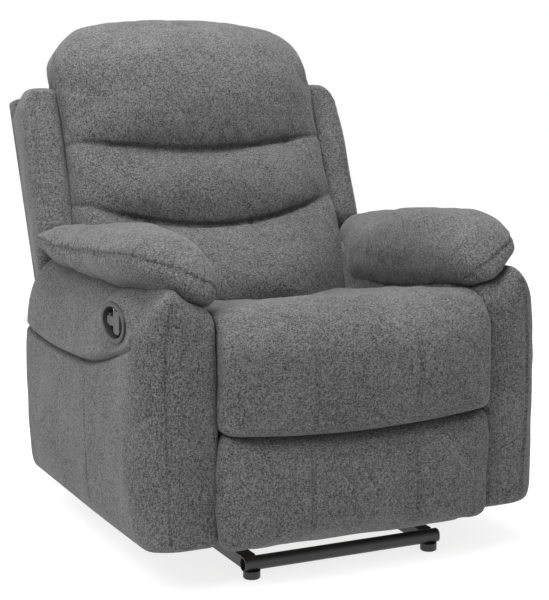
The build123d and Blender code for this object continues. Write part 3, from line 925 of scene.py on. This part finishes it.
class RECLINER_OT_outside_back(bpy.types.Operator):
    """Cloth over the outside back panel, and over the skirt panel between the arms below it"""

    bl_idname = "recliner.outside_back"
    bl_label = "Outside back"

    def execute(self, context):
        wide = float(PANEL[1][0]) - 0.012
        narrow_foot, narrow_top = 0.276, 0.266
        half = (wide, 0.36, 0.007)
        share, quads = rounded_box(half, 0.006, 0.010)
        a, b, c = share.T
        u = 0.3125 + b * 0.3875
        reach = narrow_foot + (wide - narrow_foot) * between(u, 0.096, 0.100)
        x = a * (reach - (wide - narrow_top) * between(u, 0.645, 0.665))
        u = u - 0.020 * between(np.abs(a), 0.93, 1.0) * between(u, 0.66, 0.70)
        w = -0.0055 + c * 0.0065 - 0.004 * (1 - a**2) * (1 - b**2) * between(-c, -1, 1)
        piece = new_piece("outside_back_cover", from_back(x, u, w), quads, FINISHES["cloth"])
        subdivide(piece)
        ups = np.linspace(0.12, 0.66, 12)
        lines = []
        for side in SIDES.values():
            guide = from_back(np.full(12, side * (wide - 0.022)), ups, np.full(12, -0.02))
            lines.append(sew(piece, guide, 0.0016, 0.004, 0.0003, seed=51))
        dress(piece, "backrest", "back_panel")
        dress(stitches("outside_back_stitches", piece, lines, offsets=(0.0,)), "backrest")

        low, high = node_box("rear_skirt")
        half = (high - low) / 2 + np.array((0.001, 0.0015, 0.001))
        share, quads = rounded_box(half, 0.004, 0.010)
        skirt = new_piece("rear_skirt_cover", share * half + (high + low) / 2, quads, FINISHES["cloth"])
        dress(skirt, "seat", "rear_skirt")
        return {"FINISHED"}


# ------------------------------------------------------------------ arms

# Up the arm: where its rear, its outer side and its inner side are.
ARM_REAR_LINE = [
    (0.08, 0.243), (0.12, 0.245), (0.18, 0.246), (0.26, 0.247),
    (0.348, 0.247), (0.414, 0.241), (0.462, 0.226),
    (0.500, 0.205), (0.530, 0.180), (0.570, 0.150),
]
ARM_OUTER_LINE = [
    (0.08, 0.405), (0.125, 0.414), (0.19, 0.419), (0.257, 0.421),
    (0.318, 0.421), (0.370, 0.418), (0.428, 0.4145),
    (0.4725, 0.404), (0.5025, 0.389), (0.529, 0.371), (0.554, 0.350), (0.575, 0.322),
]
ARM_INNER_LINE = [
    (0.08, 0.2715), (0.42, 0.2715), (0.46, 0.2735), (0.49, 0.2755),
    (0.515, 0.279), (0.54, 0.298), (0.57, 0.318),
]
# Along the arm, front to rear: height of its lower edge, by share of its length, and of the side's crease.
ARM_FLOOR_LINE = [(-1, 0.082), (-0.6, 0.079), (-0.15, 0.077), (0.35, 0.077), (0.8, 0.077), (1, 0.077)]
CREASE = [
    (-0.455, 0.470), (-0.43, 0.458), (-0.398, 0.445), (-0.35, 0.428),
    (-0.217, 0.389), (-0.04, 0.374), (0.12, 0.378),
    (0.235, 0.388),
]
# Down the arm's front: across and up of the sewn edge.
ARM_SEAM = [
    (0.352, 0.535), (0.362, 0.51), (0.369, 0.48), (0.371, 0.42),
    (0.370, 0.30), (0.366, 0.18), (0.364, 0.095),
]
# Width that the arm's rounded corners start from, and radius of the roll ahead of the pad.
ARM_WIDEST = 0.421
LID_ROLL = 0.046


def arm_lid(x, y):
    """Height of the arm's top: it meets the underside of the pad and rolls down ahead of it."""
    inward = between(0.40 - x, 0, 0.13)
    front = 0.550 - 0.038 * inward
    lid = front + (0.560 - front) * between(y, -0.40, -0.10)
    ahead = np.clip(-0.424 - y, 0, 0.042)
    return lid - (LID_ROLL - np.sqrt(LID_ROLL**2 - ahead**2))


def turned_back(x, radius):
    """How far the arm's outer corner, rounded to a radius, has turned back at x."""
    past = np.clip(x - (ARM_WIDEST - radius), 0, radius * 0.98)
    return radius - np.sqrt(radius**2 - past**2)


class RECLINER_OT_arms(bpy.types.Operator):
    """Padded arm covers: bulging outer side with a deep crease below the upper panel, domed front"""

    bl_idname = "recliner.arms"
    bl_label = "Arm covers"

    def execute(self, context):
        for name, side in SIDES.items():
            half = (0.0775, 0.356, 0.244)
            share, quads = rounded_box(half, 0.018, 0.008)
            a, b, c = share.T
            floor = follow(b, ARM_FLOOR_LINE)
            lid = arm_lid(0.3465 + 0.0745 * a, -0.11 + 0.356 * b)
            z = floor + (lid - floor) * (c + 1) / 2
            inner = follow(z, ARM_INNER_LINE)
            x = inner + (follow(z, ARM_OUTER_LINE) - inner) * (a + 1) / 2
            rear = follow(z, ARM_REAR_LINE)
            front = ARM_FRONT - 0.001 + turned_back(x, 0.085)
            rear = rear - turned_back(x, 0.045)
            y = front + (rear - front) * (b + 1) / 2
            y = y - 0.006 * (1 - a**2) * (1 - c**2) * between(-b, 0.5, 1)
            verts = np.stack([side * x, y, z], axis=1)
            piece = stuffed(f"arm_cover_{name}", verts, quads)
            points = coords(piece)
            out = normals(piece)
            outer = between(side * points[:, 0], 0.36, 0.39)
            line = follow(points[:, 1], CREASE)
            over = points[:, 2] - line
            cut = 0.013 * np.exp(-((over / 0.0042) ** 2))
            puff = 0.0065 * np.exp(-(((over - 0.016) / 0.015) ** 2))
            puff = puff * between(-points[:, 1], -0.22, -0.12)
            fade = between(points[:, 1], -0.412, -0.385)
            points += out * ((puff - cut) * outer * fade)[:, None]
            soft = 0.0015 * waves(points, 0.19, 61 + side) + 0.0006 * waves(points, 0.06, 63 + side)
            points += out * (soft * between(points[:, 2], 0.08, 0.12))[:, None]
            if side < 0:
                points = self.seat_the_bezel(piece, points)
            set_coords(piece, points)
            front_seam = [(side * px, ARM_FRONT, pz) for px, pz in ARM_SEAM]
            lines = [sew(piece, front_seam, 0.0032, 0.004, 0.0006, 0.018, seed=64)]
            dress(piece, "seat", f"arm_side_pad_{name}", f"arm_front_pad_{name}", fill=0.45)
            dress(stitches(f"arm_front_stitches_{name}", piece, lines), "seat")
            side_seam = [(side * 0.44, -0.17, z0) for z0 in (0.365, 0.25, 0.095)]
            lines = [sew(piece, side_seam, 0.0020, 0.0035, 0.0004, 0.018, seed=66)]
            dress(stitches(f"arm_side_stitches_{name}", piece, lines, offsets=(0.003,)), "seat")
        return {"FINISHED"}

    def seat_the_bezel(self, piece, points):
        """Lay the cover flush round the lever's plate and open it inside the plate's rim."""
        half = (BEZEL[1] - BEZEL[0]) / 2
        radius = np.hypot((points[:, 1] - LEVER[1]) / half[1], (points[:, 2] - LEVER[2]) / half[2])
        flat = float(BEZEL[0][0]) + 0.0045
        pull = 1 - between(radius, 1.0, 1.75)
        pull *= points[:, 0] < -0.33
        points[:, 0] += (flat - points[:, 0]) * pull
        set_coords(piece, points)

        def in_the_opening(face):
            centre = face.calc_center_median()
            along = (centre.y - LEVER[1]) / (half[1] - 0.0045)
            up = (centre.z - LEVER[2]) / (half[2] - 0.0040)
            return centre.x < -0.36 and math.hypot(along, up) < 1

        mesh = bmesh.new()
        mesh.from_mesh(piece.data)
        inside = [face for face in mesh.faces if in_the_opening(face)]
        bmesh.ops.delete(mesh, geom=inside, context="FACES")
        mesh.to_mesh(piece.data)
        mesh.free()
        return coords(piece)


# ------------------------------------------------------------------ arm pads


# Along the pad, front to rear: height of its top, and of its underside outside and inside the arm.
PAD_TOP_LINE = [
    (-0.455, 0.560), (-0.435, 0.588), (-0.395, 0.615), (-0.34, 0.632),
    (-0.22, 0.636), (0.0, 0.608), (0.12, 0.595),
    (0.18, 0.585), (0.215, 0.570),
]
# The pad's equator seam, from its rear outer corner round the front to the inside.
PAD_SEAM = [
    (0.392, 0.205, 0.574), (0.43, 0.15, 0.579), (0.44, 0.065, 0.582),
    (0.44, -0.08, 0.586), (0.44, -0.25, 0.597),
    (0.42, -0.33, 0.604), (0.39, -0.41, 0.604), (0.350, -0.44, 0.596),
    (0.318, -0.445, 0.578), (0.290, -0.44, 0.556),
    (0.270, -0.42, 0.536), (0.255, -0.405, 0.518),
]
PAD_LOW_OUTER = [
    (-0.455, 0.552), (-0.40, 0.552), (-0.28, 0.538), (-0.13, 0.531),
    (0.0, 0.534), (0.08, 0.550), (0.215, 0.566),
]
PAD_LOW_INNER = [
    (-0.455, 0.514), (-0.40, 0.502), (-0.30, 0.486), (-0.22, 0.470),
    (-0.02, 0.448), (0.10, 0.438), (0.215, 0.45),
]
# Height of the pad's underside where it rests on the arm.
PAD_RISE = 0.516
# Along the pad again: how far out its outer and its inner side are.
PAD_OUTER_LINE = [
    (-0.455, 0.334), (-0.44, 0.352), (-0.42, 0.369), (-0.395, 0.384),
    (-0.355, 0.399), (-0.29, 0.411), (-0.1, 0.415),
    (0.13, 0.413), (0.215, 0.400),
]
PAD_INNER_LINE = [
    (-0.455, 0.262), (-0.41, 0.250), (-0.36, 0.250), (0.0, 0.256),
    (0.06, 0.262), (0.12, 0.284), (0.215, 0.300),
]


class RECLINER_OT_arm_pads(bpy.types.Operator):
    """Pillow arm pads that hang over the arms, with an equator seam that runs into a crescent end"""

    bl_idname = "recliner.arm_pads"
    bl_label = "Arm pads"

    def held(self, points):
        """How firmly the arm below holds each point of the pad's underside."""
        return between(0.535 - points[:, 2], 0, 0.012) * 0.8

    def execute(self, context):
        for name, side in SIDES.items():
            half = (0.084, 0.342, 0.062)
            share, quads = rounded_box(half, 0.055, 0.007)
            a, b, c = share.T
            front, rear = ARM_FRONT + 0.010, 0.214
            y = front + (rear - front) * (b + 1) / 2
            outer = follow(y, PAD_OUTER_LINE)
            inner = follow(y, PAD_INNER_LINE)
            x = inner + (outer - inner) * (a + 1) / 2
            top = follow(y, PAD_TOP_LINE) - 0.010 * a**2
            low = PAD_RISE + (follow(y, PAD_LOW_OUTER) - PAD_RISE) * between(a, -0.1, 0.9)
            low = low + (follow(y, PAD_LOW_INNER) - PAD_RISE) * between(-a, 0.1, 0.75)
            z = low + (top - low) * (c + 1) / 2
            verts = np.stack([side * x, y, z], axis=1)

            piece = stuffed(f"arm_pad_cover_{name}", verts, quads, 0.007, self.held)
            points = coords(piece)
            out = normals(piece)
            soft = 0.0022 * waves(points, 0.15, 71 + side) + 0.0007 * waves(points, 0.045, 73 + side)
            points += out * soft[:, None]
            set_coords(piece, points)
            guide = [(side * px, py, pz) for px, py, pz in PAD_SEAM]
            lines = [sew(piece, guide, 0.0034, 0.0042, 0.0011, 0.017, seed=75)]
            dress(piece, "seat", f"arm_pad_{name}", fill=0.85)
            dress(stitches(f"arm_pad_stitches_{name}", piece, lines, offsets=(-0.0036, 0.0036)), "seat")
        return {"FINISHED"}


# ------------------------------------------------------------------ hard parts


class RECLINER_OT_hard_parts(bpy.types.Operator):
    """Paint, plating, plastic, wood and felt on the frame, the mechanism, the base and the lever"""

    bl_idname = "recliner.hard_parts"
    bl_label = "Frame and mechanism finishes"

    def execute(self, context):
        finishes = {
            "black_steel": powder_coat("base_powder_coat", colours().steel),
            "link_steel": powder_coat("link_paint", (0.020, 0.020, 0.021), 0.5),
            "plated_steel": zinc_plate(),
            "black_plastic": moulded_plastic("black_plastic", colours().plastic),
            "grey_plastic": moulded_plastic("grey_plastic", (0.034, 0.034, 0.035), 1200, 0.40),
            "cable_sheath": moulded_plastic("cable_sheath", (0.015, 0.015, 0.015), 900, 0.5),
            "felt": needled_felt(),
            "wood": birch_ply(),
            "grey_fabric": FINISHES["cloth"],
        }
        for entry in frame["record"]["subparts"]:
            node = frame["nodes"][entry["node"]]
            node.data.materials.clear()
            node.data.materials.append(finishes[entry["material_slot"]])
        return {"FINISHED"}


# ------------------------------------------------------------------ stage


# Each lamp's name, place in metres, side in metres and power in watts.
LAMPS = (
    ("key", (-2.3, -1.5, 3.0), 1.8, 96),
    ("fill", (2.4, -2.0, 2.2), 2.4, 6),
    ("top", (-0.1, 0.1, 3.4), 2.0, 120),
)


class RECLINER_OT_stage(bpy.types.Operator):
    """Pale floor, soft studio light and the camera"""

    bl_idname = "recliner.stage"
    bl_label = "Floor, light and camera"

    def execute(self, context):
        scene = context.scene
        self.lay_floor(scene)
        self.light(scene)
        self.place_camera(scene)
        scene.view_settings.view_transform = "Standard"
        return {"FINISHED"}

    def lay_floor(self, scene):
        """A wide floor that glows a little, so that it stays pale far away from the lamps."""
        finish = Finish("pale_floor")
        grain = finish.noise(30, 2.0)
        finish.into("Base Color", finish.mix(grain, (0.30, 0.30, 0.30), (0.32, 0.32, 0.32)))
        finish.into("Emission Color", (1, 1, 1, 1))
        finish.into("Emission Strength", 0.80)
        finish.into("Roughness", 0.9)
        reach = 30
        ends = [(-reach, -reach, 0), (reach, -reach, 0), (reach, reach, 0), (-reach, reach, 0)]
        mesh = bpy.data.meshes.new("floor")
        mesh.from_pydata(ends, [], [(0, 1, 2, 3)])
        ground = bpy.data.objects.new("floor", mesh)
        ground.data.materials.append(finish.material)
        scene.collection.objects.link(ground)

    def light(self, scene):
        """A white room, dimmer as a light than it looks, with three square lamps."""
        world = bpy.data.worlds.new("studio")
        world.use_nodes = True
        seen = make_node(world.node_tree, "ShaderNodeLightPath", output="Is Camera Ray")
        room = world.node_tree.nodes["Background"]
        fit(world.node_tree, room.inputs["Color"], (1, 1, 1, 1))
        fit(world.node_tree, room.inputs["Strength"], seen * 0.45 + 0.55)
        scene.world = world
        for name, place, size, power in LAMPS:
            lamp = bpy.data.lights.new(name, "AREA")
            lamp.shape = "SQUARE"
            lamp.size = size
            lamp.energy = power
            light = bpy.data.objects.new(name, lamp)
            light.location = place
            aim = Vector((0, 0, 0.5)) - Vector(place)
            light.rotation_euler = aim.to_track_quat("-Z", "Y").to_euler()
            scene.collection.objects.link(light)

    def place_camera(self, scene):
        """A long lens at seat height, from the sitter's front right."""
        camera = bpy.data.cameras.new("camera")
        camera.lens = 94.97
        camera.sensor_width = 36
        eye = bpy.data.objects.new("camera", camera)
        eye.location = (-1.3491, -2.94205, 0.97512)
        turn, tip = math.radians(25.52), math.radians(9.36)
        ahead = Vector((math.sin(turn) * math.cos(tip), math.cos(turn) * math.cos(tip), -math.sin(tip)))
        eye.rotation_euler = ahead.to_track_quat("-Z", "Y").to_euler()
        scene.collection.objects.link(eye)
        scene.camera = eye


STEPS = (
    RECLINER_OT_stage,
    RECLINER_OT_seat_cushion,
    RECLINER_OT_footrest,
    RECLINER_OT_back_cushion,
    RECLINER_OT_back_wings,
    RECLINER_OT_outside_back,
    RECLINER_OT_arms,
    RECLINER_OT_arm_pads,
    RECLINER_OT_hard_parts,
)


class RECLINER_PT_panel(bpy.types.Panel):
    """Sizes, colours and the steps that upholster the chair"""

    bl_idname = "RECLINER_PT_panel"
    bl_label = "Recliner"
    bl_space_type = "VIEW_3D"
    bl_region_type = "UI"
    bl_category = "Recliner"

    def draw(self, context):
        for group in (context.scene.recliner_sizes, context.scene.recliner_colours):
            box = self.layout.box()
            for name in group.__annotations__:
                box.prop(group, name)
        for step in STEPS:
            self.layout.operator(step.bl_idname)


CLASSES = (ReclinerSizes, ReclinerColours, *STEPS, RECLINER_PT_panel)


def register():
    """Add the classes and the settings that they use."""
    for cls in CLASSES:
        bpy.utils.register_class(cls)
    bpy.types.Scene.recliner_sizes = PointerProperty(type=ReclinerSizes)
    bpy.types.Scene.recliner_colours = PointerProperty(type=ReclinerColours)


def unregister():
    """Take everything that register adds away again."""
    del bpy.types.Scene.recliner_colours
    del bpy.types.Scene.recliner_sizes
    for cls in reversed(CLASSES):
        bpy.utils.unregister_class(cls)


def main():
    """Upholster the chair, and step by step."""
    register()
    FINISHES["cloth"] = upholstery()
    FINISHES["thread"] = sewing_thread()
    for step in STEPS:
        group, name = step.bl_idname.split(".")
        getattr(getattr(bpy.ops, group), name)()


if __name__ == "__main__":
    main()
